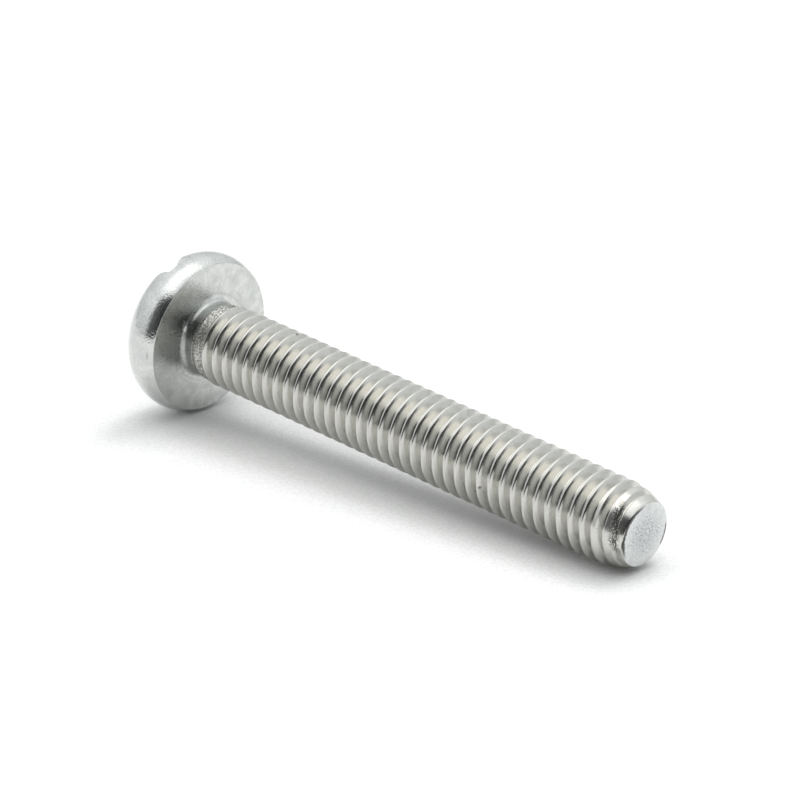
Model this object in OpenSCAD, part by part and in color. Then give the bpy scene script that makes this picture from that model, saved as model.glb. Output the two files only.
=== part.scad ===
// Slotted pan head machine screw, M6 x 1, right hand, threaded to just under the head.
// Millimetres, +Z up. The origin is the middle of the bearing face under the head.
// The screw lies at rest: the shank points along +X and dips until the last full
// crest of its thread touches the surface that the rim of the head stands on.

/* [Head] */
// Largest diameter of the head
head_d = 11.75; // [10:0.05:14]
// Height of the head from its bearing face to its flat top
head_h = 3.55; // [3:0.05:4.5]
// Radius of the arc that rounds the rim from the top down to the bearing face
rim_r = 2.3; // [2:0.05:2.6]

/* [Driver slot] */
// Width of the slot
slot_w = 1.9; // [0.8:0.05:2.4]
// Depth of the slot below the flat top
slot_depth = 2; // [0.5:0.05:2.4]
// Radius that softens both edges of the slot's mouth
slot_edge_r = 0.35; // [0.05:0.05:0.45]
// Turn of the slot about the axis, from straight up towards the -Y side
slot_turn = 17; // [0:1:179]

/* [Neck] */
// Diameter of the plain blank between the bearing face and the thread
neck_d = 5.3; // [4.9:0.05:5.6]
// Length of the plain neck
neck_len = 0.95; // [0.6:0.05:4]
// Radius of the fillet from the neck to the bearing face
fillet_r = 0.4; // [0.1:0.05:0.55]
// How far the first step of the thread stands out from the neck
collar_step = 0.1; // [0.05:0.05:0.2]

/* [Thread] */
// Length under the head, from the bearing face to the end of the point
length = 40.3; // [12:0.1:50]
// Diameter over the crests
thread_d = 5.88; // [5.7:0.01:6]
// Diameter at the bottom of the groove
root_d = 4.7; // [4.6:0.01:5]
// Distance between neighbouring crests
pitch = 1; // [0.9:0.01:1.25]
// Width of a crest
crest_w = 0.13; // [0.06:0.01:0.2]
// Width of the bottom of the groove
root_w = 0.24; // [0.1:0.01:0.3]
// Length over which the groove starts to bite, next to the neck
runout_len = 1.3; // [0.5:0.1:3]
// Turn of the thread about the axis: at 0 a crest stands straight up at every whole pitch
thread_turn = 353; // [0:1:359]

/* [Point] */
// Diameter of the flat end of the point
point_d = 4.5; // [3.8:0.05:4.6]
// Length over which the crests fall away to the end, along one arc
point_len = 3; // [1:0.1:5]
// Radius of the edge round the flat end
point_edge_r = 0.1; // [0.05:0.01:0.2]

/* [Hidden] */
$fn = 96;
// Steps in one turn of the thread
turn_steps = 28;
// Corners of the thread's section in one pitch: two on the crest, two in the groove
corners = 4;
// How far a cutting shape stands past what it cuts
past = 1;
// How far the neck is sunk into the first step of the thread
sunk = 0.02;
// How far outside the crests the arc of the point begins
point_lead = 0.01;

head_r = head_d / 2;
neck_r = neck_d / 2;
crest_r = thread_d / 2;
root_r = root_d / 2;
point_r = point_d / 2;
// Middle of the rim's arc, as distances from the axis and behind the bearing face
arc_out = head_r - rim_r;
arc_back = head_h - rim_r;
collar_r = neck_r + collar_step;
// Height of the last full crest, and how far the arc of the point falls from there to the end
last_z = length - point_len;
point_fall = crest_r + point_lead - point_r;
// Radius of that arc, which starts along the axis, and the distance of its middle from it
point_arc = (point_len * point_len + point_fall * point_fall) / (2 * point_fall);
point_mid = crest_r + point_lead - point_arc;
// Where the arc turns into the edge of the end: the angle there, and the middle of the edge
edge_turn = asin((point_len - point_edge_r) / (point_arc - point_edge_r));
edge_out = point_mid + (point_arc - point_edge_r) * cos(edge_turn);
// Where the first whole turn of the thread starts, below the neck, and its count of section corners
first_rise = pitch * (floor(neck_len / pitch) - 2);
rows = corners * ceil((length - first_rise + pitch) / pitch);

// Dip of the shank: the tangent from the last full crest to the rim's arc
reach = norm([last_z + arc_back, crest_r - arc_out]);
dip = atan2(last_z + arc_back, crest_r - arc_out) - acos(rim_r / reach);

// Share of the full thread that is formed at a height z above the bearing face
function formed(z) = min(1, max(0, (z - neck_len) / runout_len));

// One corner of the thread's section: its height, and its distance from the axis
function corner_rise(j) = pitch * floor(j / corners)
    + [-crest_w / 2, crest_w / 2, (pitch - root_w) / 2, (pitch + root_w) / 2][j % corners];
function corner_r(j, z) = let (full = (j % corners < 2) ? crest_r : root_r)
    collar_r + (full - collar_r) * formed(z);

// One point of the thread's surface, on step i of the turn and corner j of the section
function thread_point(i, j) =
    let (angle = 360 * i / turn_steps,
         z = first_rise + corner_rise(j) + pitch * i / turn_steps,
         r = corner_r(j, z))
    [r * cos(angle), r * sin(angle), z];

// A threaded rod that runs past both ends of the real thread
module rod() {
    grid = [for (j = [0 : rows - 1]) for (i = [0 : turn_steps - 1]) thread_point(i, j)];
    low = len(grid);
    points = concat(grid, [[0, 0, first_rise - pitch], [0, 0, length + 3 * pitch]]);
    // A step past the end of a turn is the first step of the next turn's corner
    function at(i, j) = (i < turn_steps) ? j * turn_steps + i : (j + corners) * turn_steps;
    skin = [for (j = [0 : rows - corners - 2]) for (i = [0 : turn_steps - 1])
        for (half = [0, 1]) half == 0
            ? [at(i, j), at(i, j + 1), at(i + 1, j + 1)]
            : [at(i, j), at(i + 1, j + 1), at(i + 1, j)]];
    // The rows between the last full row and the end close the last turn at its seam
    top = rows - corners - 1;
    foot = concat([for (i = [0 : turn_steps - 1]) [low, at(i, 0), at(i + 1, 0)]],
        [for (j = [0 : corners - 1]) [low, at(0, j + 1), at(0, j)]]);
    cap = concat([for (i = [0 : turn_steps - 1]) [low + 1, at(i + 1, top), at(i, top)]],
        [for (j = [0 : corners - 1]) [low + 1, at(0, top + j), at(0, top + j + 1)]]);
    polyhedron(points, concat(skin, foot, cap), convexity = 10);
}

// Half section of the room for the thread: square at the neck, rounded off at the point
module thread_section() {
    translate([0, neck_len]) square([crest_r + past, last_z - neck_len]);
    intersection() {
        translate([point_mid, last_z]) circle(point_arc);
        translate([0, neck_len]) square([crest_r + past, last_z + point_arc * sin(edge_turn) - neck_len]);
    }
    translate([0, neck_len]) square([edge_out, length - neck_len]);
    translate([edge_out, length - point_edge_r]) circle(point_edge_r);
}

// The thread between the neck and the point
module thread() {
    intersection() {
        rotate(thread_turn) rod();
        rotate_extrude() thread_section();
    }
}

// Half section of the upset head: a flat top, and one arc from there round to the bearing face
module head_section() {
    intersection() {
        union() {
            translate([arc_out, -arc_back]) circle(rim_r);
            translate([0, -head_h]) square([arc_out, head_h]);
        }
        translate([0, -head_h - past]) square([head_r + past, head_h + past]);
    }
}

// Half section of the neck, with its fillet under the head
module neck_section() {
    translate([0, -arc_back]) square([neck_r, arc_back + neck_len + sunk]);
    difference() {
        translate([0, -arc_back]) square([neck_r + fillet_r, arc_back + fillet_r]);
        translate([neck_r + fillet_r, fillet_r]) circle(fillet_r);
    }
}

// Straight slot across the flat top, its mouth softened on both sides
module slot() {
    wide = slot_w / 2 + slot_edge_r;
    rotate(slot_turn) translate([0, 0, -head_h]) rotate([90, 0, 90])
        linear_extrude(height = head_d + 2 * past, center = true) {
            translate([-slot_w / 2, -past]) square([slot_w, slot_depth + past]);
            difference() {
                translate([-wide, -past]) square([2 * wide, slot_edge_r + past]);
                for (side = [-1, 1]) translate([side * wide, slot_edge_r]) circle(slot_edge_r);
            }
        }
}

// The whole screw, upset and rolled from one blank of wire
module machine_screw() {
    color([0.76, 0.77, 0.75])
        rotate([0, 90 + dip, 0]) rotate(180) {
            difference() {
                rotate_extrude() {
                    head_section();
                    neck_section();
                }
                slot();
            }
            thread();
        }
}

machine_screw();
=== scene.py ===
import math
import bmesh
import bpy
import numpy as np
from mathutils import Matrix, Vector


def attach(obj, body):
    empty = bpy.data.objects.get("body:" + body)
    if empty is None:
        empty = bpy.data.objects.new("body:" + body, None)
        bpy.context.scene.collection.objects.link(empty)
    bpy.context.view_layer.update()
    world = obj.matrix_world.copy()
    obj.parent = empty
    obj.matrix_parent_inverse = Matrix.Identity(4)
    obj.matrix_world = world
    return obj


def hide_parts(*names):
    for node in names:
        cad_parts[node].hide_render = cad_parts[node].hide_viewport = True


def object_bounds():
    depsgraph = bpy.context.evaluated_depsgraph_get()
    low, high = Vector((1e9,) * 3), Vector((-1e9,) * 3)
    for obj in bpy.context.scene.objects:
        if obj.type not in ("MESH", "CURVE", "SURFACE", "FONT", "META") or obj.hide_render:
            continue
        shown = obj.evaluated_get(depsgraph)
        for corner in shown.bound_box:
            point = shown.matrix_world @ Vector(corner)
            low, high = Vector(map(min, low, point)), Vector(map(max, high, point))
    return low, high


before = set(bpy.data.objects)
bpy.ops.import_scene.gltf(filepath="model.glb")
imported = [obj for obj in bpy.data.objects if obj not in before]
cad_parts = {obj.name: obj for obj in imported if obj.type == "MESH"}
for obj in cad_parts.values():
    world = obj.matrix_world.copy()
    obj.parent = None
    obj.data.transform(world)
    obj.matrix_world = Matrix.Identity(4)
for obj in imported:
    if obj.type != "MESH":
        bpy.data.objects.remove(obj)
cad_box = [list(corner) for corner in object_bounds()]

# Head: the end of a steel wire, upset cold in a die to a flat top and one arc that rounds
# the rim. The slot is pressed across the top, and tumbling has softened the edges of its
# mouth, on the flat and over the rim alike. Bright zinc, clouded and finely grained.
head_d = 0.01175
head_h = 0.00355
rim_r = 0.0023
slot_w = 0.0019
slot_depth = 0.002
slot_edge_r = 0.00035
slot_foot_r = 0.00015
slot_turn = math.radians(17)
# Steps over the head along the slot, and across it over the rim, the mouth, the wall and the foot
rows_over_head = 72
rim_steps = 40
mouth_steps = 7
wall_steps = 5
foot_steps = 4
head_r = head_d / 2
arc_out = head_r - rim_r
arc_back = head_h - rim_r
floor_h = head_h - slot_depth
slot_half = slot_w / 2
quarter = math.pi / 2

# The screw lies on the rim of its head and on the last full crest of its thread, so its
# axis dips towards the point. Everything on it is measured along that axis from the
# bearing face, and outwards from it.
length = 0.0403
thread_d = 0.00588
point_len = 0.003
crest_r = thread_d / 2
last_z = length - point_len
reach = math.hypot(last_z + arc_back, crest_r - arc_out)
dip = math.atan2(last_z + arc_back, crest_r - arc_out) - math.acos(rim_r / reach)
axis = Vector((math.cos(dip), 0, -math.sin(dip)))
upward = Vector((math.sin(dip), 0, math.cos(dip)))
sideways = Vector((0, -1, 0))
# Points closer than the weld are one point, and edges shorter than a sliver are none
weld = 1e-7
sliver = 1e-8


def new_mesh(name, points, faces):
    """A closed mesh object, whose points are given along upward, sideways and axis."""
    mesh = bpy.data.meshes.new(name)
    placed = np.asarray(points, float) @ np.array((upward, sideways, axis))
    mesh.from_pydata(placed.tolist(), [], faces)
    mesh.validate()
    shape = bmesh.new()
    shape.from_mesh(mesh)
    bmesh.ops.remove_doubles(shape, verts=shape.verts, dist=weld)
    bmesh.ops.dissolve_degenerate(shape, edges=shape.edges, dist=sliver)
    bmesh.ops.recalc_face_normals(shape, faces=shape.faces)
    shape.to_mesh(mesh)
    shape.free()
    piece = bpy.data.objects.new(name, mesh)
    bpy.context.scene.collection.objects.link(piece)
    return piece


def dome(out):
    """Height of the head's outside above the bearing face, at a distance from the axis."""
    if out <= arc_out:
        return head_h
    return arc_back + math.sqrt(max(0, rim_r ** 2 - (out - arc_out) ** 2))


def arc_drop(near, radius):
    """How far a quarter round of this radius has dropped, at a distance from its edge."""
    if near >= radius:
        return 0
    return radius - math.sqrt(radius ** 2 - (radius - near) ** 2)


def head_columns():
    """Lines that run along the slot: their place across it, and their share of its wall."""
    mouth_turn = math.acos((slot_half + slot_edge_r) / head_r)
    foot = slot_half - slot_foot_r
    one_side = [(head_r * math.cos(mouth_turn * k / rim_steps), None) for k in range(rim_steps + 1)]
    one_side += [(slot_half + slot_edge_r * (1 - math.sin(quarter * k / mouth_steps)), None)
                 for k in range(1, mouth_steps + 1)]
    one_side += [(slot_half, k / wall_steps) for k in range(1, wall_steps + 1)]
    one_side += [(slot_half - slot_foot_r * k / foot_steps, 1) for k in range(1, foot_steps + 1)]
    one_side += [(foot * (1 - k / foot_steps), 1) for k in range(1, foot_steps + 1)]
    return one_side + [(-across, share) for across, share in reversed(one_side[:-1])]


def head_point(across, along, share):
    """One point of the head's outside or of the slot in it."""
    top = dome(math.hypot(across, along))
    bite = min(1, max(0, (top - floor_h) / slot_edge_r))
    away = abs(across) - slot_half
    low = min(top, floor_h)
    if share is None:
        height = top - bite * arc_drop(away, slot_edge_r)
    else:
        shoulder = top - bite * slot_edge_r
        foot = min(bite * arc_drop(-away, slot_foot_r), shoulder - low)
        height = shoulder + (low + foot - shoulder) * share
    c, s = math.cos(slot_turn), math.sin(slot_turn)
    return (along * c - across * s, along * s + across * c, -height)


columns = head_columns()
points, faces = [], []
for across, share in columns:
    half_chord = math.sqrt(max(0, head_r ** 2 - across ** 2))
    for k in range(rows_over_head + 1):
        along = half_chord * math.sin(math.pi * k / rows_over_head - quarter)
        points.append(head_point(across, along, share))
step = rows_over_head + 1
for i in range(len(columns) - 1):
    for k in range(rows_over_head):
        a = i * step + k
        faces.append((a, a + 1, a + step + 1, a + step))


def feed(tree, sockets, values):
    """Links each named socket to another socket, or gives it a plain value."""
    for name, value in values.items():
        if isinstance(value, bpy.types.NodeSocket):
            tree.links.new(value, sockets[name])
        else:
            sockets[name].default_value = value


def add_node(tree, kind, feeds=None, **settings):
    """One shader node with its settings and what it is fed."""
    node = tree.nodes.new("ShaderNode" + kind)
    for name, value in settings.items():
        setattr(node, name, value)
    feed(tree, node.inputs, feeds or {})
    return node


def maths(tree, operation, first, second=0.0, third=0.0):
    """The result of one sum on one, two or three numbers or sockets."""
    return add_node(tree, "Math", {0: first, 1: second, 2: third}, operation=operation).outputs["Value"]


def both(tree, first, second):
    """1 where two masks are both 1."""
    return maths(tree, "MULTIPLY", first, second)


def add_up(tree, base, *parts):
    """A base value plus each mask times its amount."""
    total = base
    for mask, amount in parts:
        total = maths(tree, "MULTIPLY_ADD", mask, amount, total)
    return total


def ramp(tree, value, start, end, low=0.0, high=1.0):
    """A smooth change from low to high while a value goes from start to end."""
    feeds = {"Value": value, "From Min": start, "From Max": end, "To Min": low, "To Max": high}
    return add_node(tree, "MapRange", feeds, interpolation_type="SMOOTHSTEP").outputs["Result"]


def blend(tree, share, first, second):
    """A colour that goes from the first to the second as the share goes from 0 to 1."""
    return add_node(tree, "MixRGB", {"Fac": share, "Color1": first, "Color2": second}).outputs["Color"]


def tint(tree, colour, mask, share, to):
    """A colour drawn a share of the way to another where a mask is 1."""
    return blend(tree, maths(tree, "MULTIPLY", mask, share), colour, to)


def scaled(tree, place, by):
    """A place with each of its three numbers multiplied, which stretches what is laid on it."""
    return add_node(tree, "VectorMath", {0: place, 1: by}, operation="MULTIPLY").outputs["Vector"]


def cells(tree, place, size, detail=2.0):
    """Soft random values from about 0.3 to 0.7, whose spots are about as large as the size."""
    feeds = {"Vector": place, "Scale": maths(tree, "DIVIDE", 1.0, size), "Detail": detail}
    return add_node(tree, "TexNoise", feeds).outputs["Fac"]


def start_group(name, inputs, outputs):
    """A node group with its sockets made, and the two ends that its nodes are linked to."""
    group = bpy.data.node_groups.new(name, "ShaderNodeTree")
    for socket, kind in inputs:
        group.interface.new_socket(socket, in_out="INPUT", socket_type="NodeSocket" + kind)
    for socket, kind in outputs:
        group.interface.new_socket(socket, in_out="OUTPUT", socket_type="NodeSocket" + kind)
    return group, group.nodes.new("NodeGroupInput").outputs, group.nodes.new("NodeGroupOutput").inputs


def use_group(tree, group, feeds=None):
    """The outputs of one use of a group in a material."""
    return add_node(tree, "Group", feeds, node_tree=group).outputs


# Where a point of the surface lies on the screw: along it, how far out, its turn about the
# axis, and the three of them together as a place on the unrolled surface
on_screw, _, out = start_group("place_on_screw", [], [
    ("Place", "Vector"), ("Along", "Float"), ("Out", "Float"), ("Turn", "Float"), ("Wrapped", "Vector")])
here = add_node(on_screw, "TexCoord").outputs["Object"]
across, aside, along = [
    add_node(on_screw, "VectorMath", {0: here, 1: way}, operation="DOT_PRODUCT").outputs["Value"]
    for way in (upward, sideways, axis)]
outward = maths(on_screw, "SQRT", maths(on_screw, "ADD", maths(on_screw, "MULTIPLY", across, across),
                                        maths(on_screw, "MULTIPLY", aside, aside)))
turn = maths(on_screw, "ARCTAN2", aside, across)
feed(on_screw, out, {
    "Place": add_node(on_screw, "CombineXYZ", {"X": across, "Y": aside, "Z": along}).outputs["Vector"],
    "Along": along, "Out": outward, "Turn": turn,
    "Wrapped": add_node(on_screw, "CombineXYZ", {"X": turn, "Y": outward, "Z": along}).outputs["Vector"]})

# Clouds and fine grain of the zinc, which grows in spots of slightly different gloss
cloud_detail = 4.0
grain_detail = 2.0
cells_low = 0.3
cells_high = 0.7
zinc_clouds, into, out = start_group(
    "zinc_clouds", [("Place", "Vector"), ("Cloud Size", "Float"), ("Grain Size", "Float")],
    [("Clouds", "Float"), ("Grain", "Float")])
clouds = cells(zinc_clouds, into["Place"], into["Cloud Size"], cloud_detail)
grain = cells(zinc_clouds, into["Place"], into["Grain Size"], grain_detail)
feed(zinc_clouds, out, {"Clouds": ramp(zinc_clouds, clouds, cells_low, cells_high),
                        "Grain": ramp(zinc_clouds, grain, cells_low, cells_high)})

# Pits and bright flecks: the lowest and the highest of the cells, more of them as the cover grows
pit_detail = 3.0
cover_reach = 0.5
pit_level = 0.06
fleck_level = 1.04
soft_edge = 0.05
pitting, into, out = start_group(
    "pits_and_flecks", [("Place", "Vector"), ("Size", "Float"), ("Cover", "Float")],
    [("Pits", "Float"), ("Flecks", "Float")])
spots = cells(pitting, into["Place"], into["Size"], pit_detail)
cover = maths(pitting, "MULTIPLY", into["Cover"], cover_reach)
deep = maths(pitting, "SUBTRACT", maths(pitting, "ADD", cover, pit_level), spots)
high = maths(pitting, "SUBTRACT", maths(pitting, "ADD", cover, spots), fleck_level)
feed(pitting, out, {"Pits": ramp(pitting, deep, 0.0, soft_edge),
                    "Flecks": ramp(pitting, high, 0.0, soft_edge)})

# One nick, scratch or speck: a ragged oval at its place on the screw
ragged_size = 0.00006
ragged_share = 1.2
mark_ends = 1.8
mark_full = 1.2
small_mark, into, out = start_group(
    "small_mark", [("Place", "Vector"), ("Middle", "Vector"), ("Size", "Vector")], [("Mark", "Float")])
apart = add_node(small_mark, "VectorMath", {0: into["Place"], 1: into["Middle"]}, operation="SUBTRACT")
oval = add_node(small_mark, "VectorMath", {0: apart.outputs["Vector"], 1: into["Size"]}, operation="DIVIDE")
away = add_node(small_mark, "VectorMath", {0: oval.outputs["Vector"]}, operation="LENGTH").outputs["Value"]
ragged = add_up(small_mark, away, (cells(small_mark, into["Place"], ragged_size), ragged_share))
feed(small_mark, out, {"Mark": ramp(small_mark, ragged, mark_ends, mark_full)})

# Heights in every finish are given in this unit
micrometre = 1e-6


def start_finish(name, metallic=1.0):
    """A new finish, its node tree and the inputs of its shader."""
    finish = bpy.data.materials.new(name)
    finish.use_nodes = True
    shader = finish.node_tree.nodes["Principled BSDF"].inputs
    shader["Metallic"].default_value = metallic
    return finish, finish.node_tree, shader


def complete(tree, shader, colour, roughness, height):
    """Gives a shader its colour, its roughness and a bump of a height in micrometres."""
    bump = add_node(tree, "Bump", {"Height": height, "Distance": micrometre, "Strength": 1.0})
    feed(tree, shader, {"Base Color": colour, "Roughness": roughness, "Normal": bump.outputs["Normal"]})


# The head's zinc, with a few pits and one scratch from handling
zinc_dark = (0.59, 0.6, 0.59, 1)
zinc_light = (0.7, 0.705, 0.69, 1)
grain_grey = (0.46, 0.47, 0.46, 1)
grain_share = 0.45
pit_grey = (0.3, 0.31, 0.31, 1)
pit_share = 0.6
pit_size = 0.00022
pit_cover = 0.52
scratch_grey = (0.25, 0.25, 0.24, 1)
scratch_share = 0.7
scratch_at = (0, 0.0057, -0.0004)
scratch_size = (0.00026, 0.0003, 0.00005)
# Roughness of the bare zinc, and what clouds and grain add to it, then heights in micrometres
smooth = 0.08
cloud_dulls = 0.04
grain_dulls = 0.04
cloud_high = 5.0
grain_high = 4.6
pit_high = -3.0
scratch_high = -5.0
on_head, tree, shader = start_finish("zinc_on_head")
spot = use_group(tree, on_screw)
zinc = use_group(tree, zinc_clouds, {"Place": spot["Place"], "Cloud Size": 0.0011, "Grain Size": 0.00013})
pits = use_group(tree, pitting, {"Place": spot["Place"], "Size": pit_size, "Cover": pit_cover})
scratch = use_group(tree, small_mark, {"Place": spot["Place"], "Middle": scratch_at, "Size": scratch_size})
colour = blend(tree, zinc["Clouds"], zinc_dark, zinc_light)
colour = tint(tree, colour, zinc["Grain"], grain_share, grain_grey)
colour = tint(tree, colour, pits["Pits"], pit_share, pit_grey)
colour = tint(tree, colour, scratch["Mark"], scratch_share, scratch_grey)
roughness = add_up(tree, smooth, (zinc["Clouds"], cloud_dulls), (zinc["Grain"], grain_dulls))
height = add_up(tree, 0.0, (zinc["Clouds"], cloud_high), (zinc["Grain"], grain_high),
                (pits["Pits"], pit_high), (scratch["Mark"], scratch_high))
complete(tree, shader, colour, roughness, height)

# Bearing face and neck: under the rim the same blank is turned in to a flat ring. A fillet
# leads from it into the neck, which is the wire before rolling. The zinc is duller here,
# drawn out from the axis, and darkened round the neck on one side by a painted reflection of the shank.
neck_r = 0.00265
neck_len = 0.00095
fillet_r = 0.0004
rim_edge_r = 0.00006
# How far the neck runs on inside the thread, inwards and along
sunk_in = 0.0006
sunk_along = 0.0001
arc_steps = 14
edge_steps = 4
face_steps = 16
fillet_steps = 8
neck_steps = 6


def arc(out, z, radius, start, end, steps):
    """Points of an arc in the half section, at angles measured from straight out."""
    turns = [start + (end - start) * k / steps for k in range(steps + 1)]
    return [(out + radius * math.cos(t), z + radius * math.sin(t)) for t in turns]


# The half section from the widest place of the rim to the neck, with a small round where
# the rim's arc would meet the bearing face in a corner
edge_turn = math.asin((arc_back - rim_edge_r) / (rim_r - rim_edge_r))
edge_out = arc_out + (rim_r - rim_edge_r) * math.cos(edge_turn)
fillet_out = neck_r + fillet_r
section = arc(arc_out, -arc_back, rim_r, 0, edge_turn, arc_steps)
section += arc(edge_out, -rim_edge_r, rim_edge_r, edge_turn, quarter, edge_steps)[1:]
section += [(edge_out + (fillet_out - edge_out) * k / face_steps, 0) for k in range(1, face_steps + 1)]
section += arc(fillet_out, fillet_r, fillet_r, math.pi + quarter, math.pi, fillet_steps)[1:]
section += [(neck_r, fillet_r + (neck_len - fillet_r) * k / neck_steps) for k in range(1, neck_steps + 1)]
section += [(neck_r - sunk_in, neck_len + sunk_along)]

# The rings of this section have a point wherever a column of the head's outside ends, so that the two join.
# Columns whose places agree to this many digits end in the same point.
same_place = 9
ends = sorted({round(across, same_place) for across, share in columns})
turns = [math.asin(max(-1, min(1, end / head_r))) for end in ends]
ring = [slot_turn + t for t in turns] + [slot_turn + math.pi - t for t in turns[-2:0:-1]]
count = len(ring)
first = len(points)
for out, z in section:
    points += [(out * math.cos(t), out * math.sin(t), z) for t in ring]
for j in range(len(section) - 1):
    for i in range(count):
        a, b = first + j * count + i, first + j * count + (i + 1) % count
        faces.append((a, a + count, b + count, b))
faces.append(tuple(first + (len(section) - 1) * count + i for i in range(count)))
head = new_mesh("upset_head", points, faces)


def facing(tree, spot, middle, near, far):
    """1 where the surface looks towards a turn about the axis, fading to 0 away from it."""
    away = maths(tree, "ABSOLUTE", maths(tree, "SUBTRACT", spot["Turn"], middle))
    return ramp(tree, away, far, near)


face_dark = (0.55, 0.565, 0.55, 1)
face_light = (0.7, 0.705, 0.69, 1)
face_grain = (0.5, 0.51, 0.5, 1)
face_grain_share = 0.25
# Marks drawn out from the axis: stretched outwards, and where their cells begin and end to show
drawn_stretch = (0.0045, 0.18, 1)
drawn_size = 0.00022
drawn_detail = 3.0
drawn_cells = (0.35, 0.7)
drawn_grey = (0.48, 0.49, 0.48, 1)
drawn_share = 0.12
# Rings from the die: stretched about the axis, and fading out between two distances from it
ring_stretch = (0.0004, 1, 1)
ring_size = 0.00035
ring_cells = (0.4, 0.62)
ring_fades = (0.0044, 0.0034)
ring_grey = (0.33, 0.34, 0.33, 1)
ring_share = 0.35
# The painted reflection of the shank, dark round the neck: its fade outwards, and the turn it lies at with
# its two fades
reflection_fades = (0.0056, 0.0032)
reflection_side = (1.25, 0.3, 1.1)
reflection_grey = (0.24, 0.25, 0.24, 1)
reflection_share = 0.6
nick_bright = (0.95, 0.96, 0.96, 1)
nick_at = (0.00153, 0.00252, 0.00002)
nick_size = (0.0004, 0.00016, 0.0003)
face_rough = 0.24
drawn_dulls = 0.06
face_grain_dulls = 0.08
face_grain_high = 2.6
drawn_high = 0.7
ring_high = 1.6
nick_high = 8.0
under_head, tree, shader = start_finish("zinc_under_head")
spot = use_group(tree, on_screw)
zinc = use_group(tree, zinc_clouds, {"Place": spot["Place"], "Cloud Size": 0.0009, "Grain Size": 0.00013})
nick = use_group(tree, small_mark, {"Place": spot["Place"], "Middle": nick_at, "Size": nick_size})
drawn = cells(tree, scaled(tree, spot["Wrapped"], drawn_stretch), drawn_size, drawn_detail)
drawn = ramp(tree, drawn, *drawn_cells)
rings = ramp(tree, cells(tree, scaled(tree, spot["Wrapped"], ring_stretch), ring_size), *ring_cells)
rings = both(tree, rings, ramp(tree, spot["Out"], *ring_fades))
# Painted reflection: one side of the bearing face is darkened near the neck, where the shank would be
# mirrored
neck_painted_reflection = both(tree, ramp(tree, spot["Out"], *reflection_fades), facing(tree, spot, *reflection_side))
colour = blend(tree, zinc["Clouds"], face_dark, face_light)
colour = tint(tree, colour, drawn, drawn_share, drawn_grey)
colour = tint(tree, colour, rings, ring_share, ring_grey)
colour = tint(tree, colour, zinc["Grain"], face_grain_share, face_grain)
# The painted reflection of the shank darkens the colour here
colour = tint(tree, colour, neck_painted_reflection, reflection_share, reflection_grey)
colour = blend(tree, nick["Mark"], colour, nick_bright)
roughness = add_up(tree, face_rough, (drawn, drawn_dulls), (zinc["Grain"], face_grain_dulls))
height = add_up(tree, 0.0, (zinc["Grain"], face_grain_high), (drawn, drawn_high), (rings, ring_high),
                (nick["Mark"], nick_high))
complete(tree, shader, colour, roughness, height)

# Thread: rolled between flat dies, right hand, with a narrow rounded crest and a wide round
# groove. It starts shallow at the neck, where the dies have torn the surface, and keeps a
# thin zinc coat. Its flanks are smooth and folded only beside the end face. Painted shade darkens the last
# valley, the end's edge and the grooves on the under side, and a painted highlight lines the lip at the
# neck.
pitch = 0.001
crest_round = 0.00012
groove_round = 0.00013
flank = math.radians(60)
collar_r = 0.00275
runout_len = 0.0013
thread_turn = math.radians(353)
steps_around = 96
round_steps = 4
turns_past_end = 2
flank_run = (pitch / 2 - (crest_round + groove_round) * math.sin(flank)) / math.cos(flank)


def half_groove():
    """Places from the middle of a crest to the middle of the groove, and how deep each is."""
    path = []
    for k in range(round_steps + 1):
        turned = flank * k / round_steps
        path.append((crest_round * math.sin(turned), crest_round * (1 - math.cos(turned))))
    z, deep = path[-1]
    path.append((z + flank_run / 2 * math.cos(flank), deep + flank_run / 2 * math.sin(flank)))
    z, deep = z + flank_run * math.cos(flank), deep + flank_run * math.sin(flank)
    for k in range(round_steps + 1):
        left = flank * (1 - k / round_steps)
        path.append((z + groove_round * (math.sin(flank) - math.sin(left)),
                     deep + groove_round * (math.cos(left) - math.cos(flank))))
    return path


def thread_out(z, deep):
    """Distance of the thread's surface from the axis, where the full groove is this deep."""
    formed = min(1, max(0, (z - neck_len) / runout_len))
    return collar_r + (crest_r - deep - collar_r) * formed


# The rod starts one pitch before the bearing face and runs on past the end of the screw
half = half_groove()
corners = half + [(pitch - z, deep) for z, deep in reversed(half[1:-1])]
whole_turns = math.ceil((length + pitch) / pitch) + turns_past_end
points, faces = [], []
for j in range(len(corners) * whole_turns):
    rise, deep = corners[j % len(corners)]
    for i in range(steps_around):
        t = 2 * math.pi * i / steps_around
        z = pitch * (j // len(corners) - 1) + rise + pitch * i / steps_around
        out = thread_out(z, deep)
        points.append((out * math.cos(t), out * math.sin(t), z))
low = len(points)
points += [(0, 0, -2 * pitch), (0, 0, pitch * whole_turns)]


def thread_vertex(i, j):
    """A step past the end of a turn is the first step of the same corner one turn on."""
    if i < steps_around:
        return j * steps_around + i
    return (j + len(corners)) * steps_around


top = len(corners) * (whole_turns - 1) - 1
for j in range(top):
    for i in range(steps_around):
        faces.append((thread_vertex(i, j), thread_vertex(i + 1, j),
                      thread_vertex(i + 1, j + 1), thread_vertex(i, j + 1)))
for i in range(steps_around):
    faces.append((low, thread_vertex(i + 1, 0), thread_vertex(i, 0)))
    faces.append((low + 1, thread_vertex(i, top), thread_vertex(i + 1, top)))
for j in range(len(corners)):
    faces.append((low, thread_vertex(0, j), thread_vertex(0, j + 1)))
    faces.append((low + 1, thread_vertex(0, top + j + 1), thread_vertex(0, top + j)))
rod = new_mesh("rolled_rod", points, faces)
rod.data.transform(Matrix.Rotation(thread_turn, 4, axis))

thread_dark = (0.595, 0.59, 0.555, 1)
thread_light = (0.65, 0.645, 0.615, 1)
thread_grain = (0.52, 0.52, 0.49, 1)
thread_grain_share = 0.22
# Fine lines that the dies roll about the axis
roll_stretch = (0.0003, 1, 1)
roll_size = 0.00008
roll_cells = (0.35, 0.65)
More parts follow.
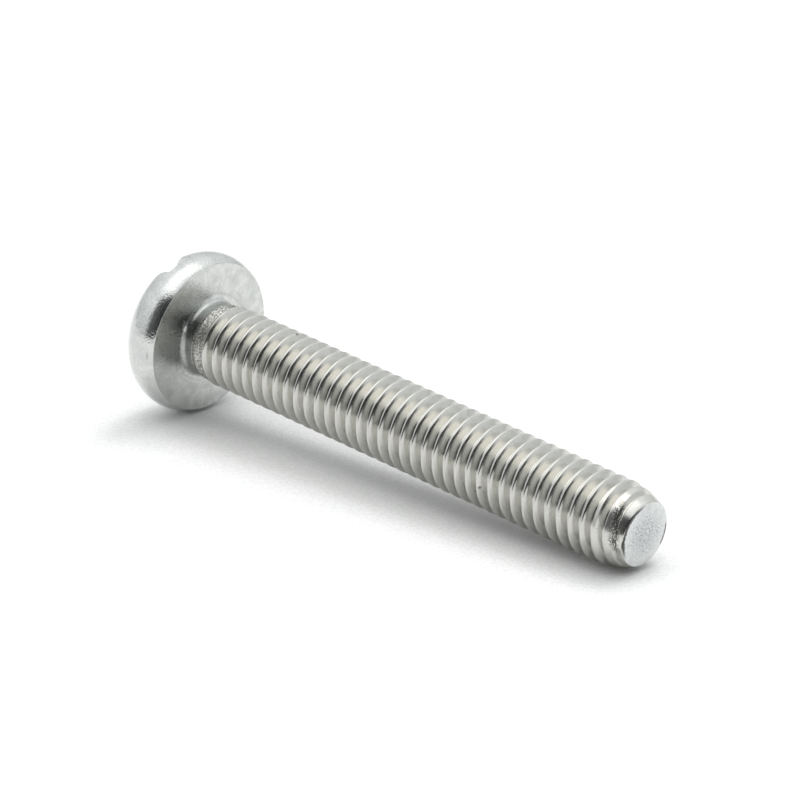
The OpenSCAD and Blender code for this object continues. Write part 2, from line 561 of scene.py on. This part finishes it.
# The torn first step: the end of its bright lip, which is a painted highlight, and where it begins and ends
# along the axis
highlight_fades = (0.00104, 0.00099)
highlight_bright = (0.9, 0.9, 0.88, 1)
torn_begins = (0.001, 0.00104)
torn_ends = (0.002, 0.0016)
torn_wanders = -0.0004
torn_pit_size = 0.00008
torn_cover = 0.5
more_cover = 0.43
torn_black = (0.08, 0.08, 0.075, 1)
torn_share = 0.72
fleck_bright = (0.86, 0.86, 0.84, 1)
# The fold beside the end face, darkened with painted shade: the turn it lies at with its two fades, how far
# it is from the end, how much nearer with each radian, and how its painted shade and its frayed edge fade
fold_side = (1.2, 0.4, 0.9)
fold_from_end = 0.00118
fold_slope = -0.0005
fold_wanders = 0.0002
fold_fades = (0.00024, 0.00006)
frayed_fades = (0.0005, 0.0002)
fold_shade_share = 0.85
# Painted shade along the end's edge: its width, how it wanders, and the colour that also darkens the last
# valley
edge_shade_width = 0.00002
edge_shade_wanders = 0.00006
valley_shade_black = (0.07, 0.07, 0.065, 1)
# Painted shade deep in the grooves on the under side, by the turn and by the distance from the axis
under_turns = (1.4, 2.3)
groove_shade_fades = (0.003, 0.0024)
underside_shade_grey = (0.3, 0.3, 0.28, 1)
underside_shade_share = 0.5
# The two largest specks, each with its place and its size
specks = (((-0.00022, 0.00281, 0.02843), (0.00012, 0.0002, 0.00009)),
          ((0.00289, -0.0005, 0.00802), (0.0002, 0.00016, 0.00014)))
speck_grey = (0.16, 0.16, 0.15, 1)
speck_share = 0.8
thread_rough = 0.17
torn_dulls = 0.2
thread_cloud_dulls = 0.08
rolled_high = 0.5
thread_grain_high = 0.7
torn_high = 5.5
torn_pit_high = -3.0
on_thread, tree, shader = start_finish("zinc_on_thread")
spot = use_group(tree, on_screw)
zinc = use_group(tree, zinc_clouds, {"Place": spot["Place"], "Cloud Size": 0.0007, "Grain Size": 0.0001})
rolled = ramp(tree, cells(tree, scaled(tree, spot["Wrapped"], roll_stretch), roll_size), *roll_cells)
# Painted highlight: a bright line along the lip where the thread starts
lip_painted_highlight = ramp(tree, spot["Along"], *highlight_fades)
torn_end = add_up(tree, spot["Along"], (zinc["Clouds"], torn_wanders))
torn = both(tree, ramp(tree, spot["Along"], *torn_begins), ramp(tree, torn_end, *torn_ends))
on_fold_side = facing(tree, spot, *fold_side)
fold_place = add_up(tree, spot["Along"], (spot["Turn"], fold_slope), (zinc["Clouds"], fold_wanders))
from_fold = maths(tree, "ABSOLUTE", maths(tree, "SUBTRACT", fold_place, length - fold_from_end))
fold_painted_shade = both(tree, ramp(tree, from_fold, *fold_fades), on_fold_side)
frayed = both(tree, ramp(tree, from_fold, *frayed_fades), on_fold_side)
fringe = add_up(tree, spot["Along"], (zinc["Clouds"], edge_shade_wanders))
# Painted shade: the last valley and the end's edge are darkened on one side
end_edge_painted_shade = both(tree, on_fold_side, ramp(tree, fringe, length - edge_shade_width, length))
end_painted_shade = maths(tree, "MAXIMUM", end_edge_painted_shade, maths(tree, "MULTIPLY", fold_painted_shade, fold_shade_share))
under_side = ramp(tree, maths(tree, "ABSOLUTE", spot["Turn"]), *under_turns)
# Painted shade: the grooves are darkened on the under side, deeper in more
underside_painted_shade = both(tree, under_side, ramp(tree, spot["Out"], *groove_shade_fades))
rough = maths(tree, "ADD", torn, frayed)
pits = use_group(tree, pitting, {"Place": spot["Place"], "Size": torn_pit_size,
                                 "Cover": add_up(tree, torn_cover, (rough, more_cover))})
colour = blend(tree, zinc["Clouds"], thread_dark, thread_light)
colour = tint(tree, colour, zinc["Grain"], thread_grain_share, thread_grain)
# Paints the shade in the under side's grooves
colour = tint(tree, colour, underside_painted_shade, underside_shade_share, underside_shade_grey)
colour = tint(tree, colour, pits["Pits"], torn_share, torn_black)
# Paints the shade in the last valley and along the end's edge
colour = blend(tree, end_painted_shade, colour, valley_shade_black)
colour = blend(tree, both(tree, pits["Flecks"], rough), colour, fleck_bright)
# Paints the highlight on the lip
colour = blend(tree, lip_painted_highlight, colour, highlight_bright)
for middle, size in specks:
    speck = use_group(tree, small_mark, {"Place": spot["Place"], "Middle": middle, "Size": size})
    colour = tint(tree, colour, speck["Mark"], speck_share, speck_grey)
roughness = add_up(tree, thread_rough, (torn, torn_dulls), (lip_painted_highlight, torn_dulls),
                   (zinc["Clouds"], thread_cloud_dulls))
height = add_up(tree, 0.0, (rolled, rolled_high), (zinc["Grain"], thread_grain_high),
                (both(tree, zinc["Grain"], torn), torn_high), (pits["Pits"], torn_pit_high))
complete(tree, shader, colour, roughness, height)

# Point: the wire is cut off, and the crests fall away to the end face along one arc. The face
# is cut metal under the zinc: cooler, clouded, duller in the middle, with painted shade along two edges.
point_r = 0.00225
point_lead = 0.00001
end_edge_r = 0.0001
collar_edge = 0.00003
room_out = 0.004
room_steps = 192
point_steps = 16
end_edge_steps = 5
end_steps = 8
point_fall = crest_r + point_lead - point_r
point_arc = (point_len ** 2 + point_fall ** 2) / (2 * point_fall)
arc_mid = crest_r + point_lead - point_arc
end_turn = math.asin((point_len - end_edge_r) / (point_arc - end_edge_r))
end_out = arc_mid + (point_arc - end_edge_r) * math.cos(end_turn)

# The room that the blank leaves for the thread: square at the neck with a broken edge, and
# the arc and the flat of the point
collar_z = neck_len + 2 * collar_edge
room = [(0, neck_len), (collar_r - collar_edge, neck_len), (collar_r + collar_edge, collar_z),
        (room_out, collar_z), (room_out, last_z)]
room += arc(arc_mid, last_z, point_arc, 0, end_turn, point_steps)
room += arc(end_out, length - end_edge_r, end_edge_r, end_turn, quarter, end_edge_steps)[1:]
room += [(end_out * (1 - k / end_steps), length) for k in range(1, end_steps + 1)]
around = [2 * math.pi * i / room_steps for i in range(room_steps)]
points = [(out * math.cos(t), out * math.sin(t), z) for out, z in room for t in around]
faces = []
for j in range(len(room) - 1):
    for i in range(room_steps):
        a, b = j * room_steps + i, j * room_steps + (i + 1) % room_steps
        faces.append((a, b, b + room_steps, a + room_steps))
bound = new_mesh("blank_bound", points, faces)

end_dark = (0.58, 0.595, 0.595, 1)
end_light = (0.76, 0.77, 0.765, 1)
end_grain = (0.3, 0.315, 0.33, 1)
# The dull middle: its uneven fade outwards, the share of grain outside it, and what it adds
middle_fades = (0.0014, -0.0002)
middle_wanders = -0.0012
outer_grain = 0.15
middle_grain = 0.8
# The two edges in painted shade: their fades outwards, and their turns with their two fades
fringe_wanders = 0.00009
near_edge_fades = (0.00202, 0.00212)
near_edge_side = (1.1, 0.6, 1.2)
far_edge_fades = (0.00208, 0.00218)
far_edge_side = (-1.85, 0.25, 0.45)
edge_shade_black = (0.03, 0.03, 0.03, 1)
edge_share = 0.92
end_rough = 0.26
middle_dulls = 0.08
end_grain_dulls = 0.1
end_grain_high = 2.5
end_cloud_high = 5.0
on_end, tree, shader = start_finish("zinc_on_end")
spot = use_group(tree, on_screw)
zinc = use_group(tree, zinc_clouds, {"Place": spot["Place"], "Cloud Size": 0.0007, "Grain Size": 0.00013})
middle = ramp(tree, add_up(tree, spot["Out"], (zinc["Clouds"], middle_wanders)), *middle_fades)
dullness = both(tree, zinc["Grain"], add_up(tree, outer_grain, (middle, middle_grain)))
fringe = add_up(tree, spot["Out"], (zinc["Grain"], fringe_wanders))
# Painted shade: dark lines along two sides of the end face's edge
near_painted_shade = both(tree, ramp(tree, fringe, *near_edge_fades), facing(tree, spot, *near_edge_side))
far_painted_shade = both(tree, ramp(tree, fringe, *far_edge_fades), facing(tree, spot, *far_edge_side))
colour = blend(tree, zinc["Clouds"], end_dark, end_light)
colour = blend(tree, dullness, colour, end_grain)
# Paints the shade along the two edges
colour = tint(tree, colour, maths(tree, "ADD", near_painted_shade, far_painted_shade), edge_share, edge_shade_black)
roughness = add_up(tree, end_rough, (middle, middle_dulls), (zinc["Grain"], end_grain_dulls))
height = add_up(tree, 0.0, (zinc["Grain"], end_grain_high), (zinc["Clouds"], end_cloud_high))
complete(tree, shader, colour, roughness, height)

# The whole screw: head, neck, thread and point are one piece of steel. Each face takes the
# finish of the stretch that its middle lies on, and the skin is the tolerance of that.
skin = 0.000002
sharpest = math.radians(38)
for tool, operation in ((bound, "INTERSECT"), (head, "UNION")):
    cut = rod.modifiers.new(tool.name, "BOOLEAN")
    cut.operation = operation
    cut.solver = "MANIFOLD"
    cut.object = tool
whole = bpy.data.meshes.new_from_object(rod.evaluated_get(bpy.context.evaluated_depsgraph_get()))
whole.name = "screw"
screw = bpy.data.objects.new("screw", whole)
bpy.context.scene.collection.objects.link(screw)
for piece in (rod, bound, head):
    bpy.data.objects.remove(piece)
whole.shade_smooth()
whole.set_sharp_from_angle(angle=sharpest)
whole.materials.clear()
for finish in (on_head, under_head, on_thread, on_end):
    whole.materials.append(finish)
stretch_ends = (-skin, neck_len, length - skin)
for polygon in whole.polygons:
    rise = polygon.center.dot(axis)
    polygon.material_index = sum(rise >= end for end in stretch_ends)
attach(screw, "root")
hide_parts("machine_screw")

# Sheet of white paper under the screw, at the height that the rim and the thread touch. It is
# matt and slightly fibrous, and reaches far enough to fill the view.
paper_half = 1.5
paper_z = cad_box[0][2]
fibre_size = 0.00022
fibre_detail = 3.0
fibre_cells = (0.35, 0.65)
fibre_high = 6.0
paper_low = (0.9, 0.9, 0.9, 1)
paper_high = (0.98, 0.98, 0.98, 1)
paper_roughness = 0.9
paper_mesh = bpy.data.meshes.new("paper")
sheet = [(x * paper_half, y * paper_half, paper_z) for x, y in ((-1, -1), (1, -1), (1, 1), (-1, 1))]
paper_mesh.from_pydata(sheet, [], [(0, 1, 2, 3)])
paper = bpy.data.objects.new("paper", paper_mesh)
bpy.context.scene.collection.objects.link(paper)
paper_white, tree, shader = start_finish("paper_white", metallic=0.0)
here = add_node(tree, "TexCoord").outputs["Object"]
fibres = ramp(tree, cells(tree, here, fibre_size, fibre_detail), *fibre_cells)
colour = blend(tree, fibres, paper_low, paper_high)
complete(tree, shader, colour, paper_roughness, add_up(tree, 0.0, (fibres, fibre_high)))
paper_mesh.materials.append(paper_white)

# Camera: stands off the point of the screw with a long lens and looks down a
# little. Its place and its lens in pixels were fitted to the photograph's outlines.
camera_at = (0.182367, -0.175820, 0.098566)
camera_down = math.radians(22.239)
camera_round = math.radians(42.980)
camera_sees = (0.01, 10)
lens_px = 3819.9
frame_px = 800
sensor = 36
camera_data = bpy.data.cameras.new("camera")
camera_data.sensor_width = sensor
camera_data.lens = sensor * lens_px / frame_px
camera_data.clip_start, camera_data.clip_end = camera_sees
camera = bpy.data.objects.new("camera", camera_data)
camera.location = camera_at
camera.rotation_euler = (quarter - camera_down, 0, camera_round)
bpy.context.scene.collection.objects.link(camera)
bpy.context.scene.camera = camera

# Light tent: a white tent with an oblong soft box in its top, open on the camera's side, where
# the room is dark. Angles are turns from -Y towards +X, and rises above the paper.
# Strengths of the tent at its foot, of what its top adds, of the box and of the dark room
tent_low = 0.74
tent_rise = 0.52
box_light = 2.05
room_left = 0.2
room_right = 0.04
tent_tint = (0.965, 0.99, 1, 1)
box_tint = (1, 0.985, 0.945, 1)
# The box's middle along X and its half sizes along X and Y, on a plane one unit above the
# screw, and the lowest rise at which that plane is still looked up
box_middle = -0.1
box_wide = 0.3
box_long = 0.46
box_blur = 0.12
level = 0.01
# The opening's sides and its top edge, which slopes down to both sides of one turn
opening_left = math.radians(-15)
left_blur = math.radians(6)
opening_right = math.radians(108)
right_blur = math.radians(5)
opening_high = math.radians(57)
high_blur = math.radians(5)
slope_from = math.radians(32)
right_slope = 0.38
left_slope = 0.1
room_turn = math.radians(5)
room_blur = math.radians(25)
world = bpy.data.worlds.new("light_tent")
world.use_nodes = True
sky = world.node_tree


def inside(value, limit, blur):
    """1 while a value is below its limit, fading to 0 over the blur of the edge."""
    return ramp(sky, value, limit + blur, limit - blur)


looking = add_node(sky, "TexCoord").outputs["Generated"]
parts = add_node(sky, "SeparateXYZ", {"Vector": looking}).outputs
turned = maths(sky, "ARCTAN2", parts["X"], maths(sky, "MULTIPLY", parts["Y"], -1.0))
risen = maths(sky, "ARCSINE", parts["Z"])
past_top = maths(sky, "SUBTRACT", turned, slope_from)
lowered = maths(sky, "MAXIMUM", maths(sky, "MULTIPLY", past_top, right_slope),
                maths(sky, "MULTIPLY", past_top, -left_slope))
between = both(sky, inside(turned, opening_right, right_blur),
               inside(maths(sky, "MULTIPLY", turned, -1.0), -opening_left, left_blur))
open_here = both(sky, between, inside(maths(sky, "ADD", risen, lowered), opening_high, high_blur))
above = maths(sky, "MAXIMUM", parts["Z"], level)
across_box = maths(sky, "SUBTRACT", maths(sky, "DIVIDE", parts["X"], above), box_middle)
along_box = maths(sky, "DIVIDE", parts["Y"], above)
in_box = both(sky, inside(maths(sky, "ABSOLUTE", across_box), box_wide, box_blur),
              inside(maths(sky, "ABSOLUTE", along_box), box_long, box_blur))
tent = add_up(sky, tent_low, (parts["Z"], tent_rise))
shine = maths(sky, "MULTIPLY_ADD", in_box, maths(sky, "SUBTRACT", box_light, tent), tent)
dim = add_up(sky, room_right, (inside(turned, room_turn, room_blur), room_left - room_right))
strength = maths(sky, "MULTIPLY_ADD", open_here, maths(sky, "SUBTRACT", dim, shine), shine)
light = blend(sky, in_box, tent_tint, box_tint)
feed(sky, sky.nodes["Background"].inputs, {"Strength": strength, "Color": light})
bpy.context.scene.world = world

# One round lamp behind the tent lights the paper, so that the shadow falls forwards
lamp_turn = math.radians(178)
lamp_rise = math.radians(63)
lamp_away = 0.6
lamp_size = 0.28
lamp_power = 0.92
lamp_data = bpy.data.lights.new("back_lamp", "AREA")
lamp_data.shape = "DISK"
lamp_data.size = lamp_size
lamp_data.energy = lamp_power
lamp = bpy.data.objects.new("back_lamp", lamp_data)
level_part = math.cos(lamp_rise)
towards_lamp = Vector((math.sin(lamp_turn) * level_part, -math.cos(lamp_turn) * level_part,
                       math.sin(lamp_rise)))
lamp.location = towards_lamp * lamp_away
lamp.rotation_euler = towards_lamp.to_track_quat("Z", "Y").to_euler()
lamp.visible_glossy = False
bpy.context.scene.collection.objects.link(lamp)
bpy.context.scene.view_settings.view_transform = "Standard"
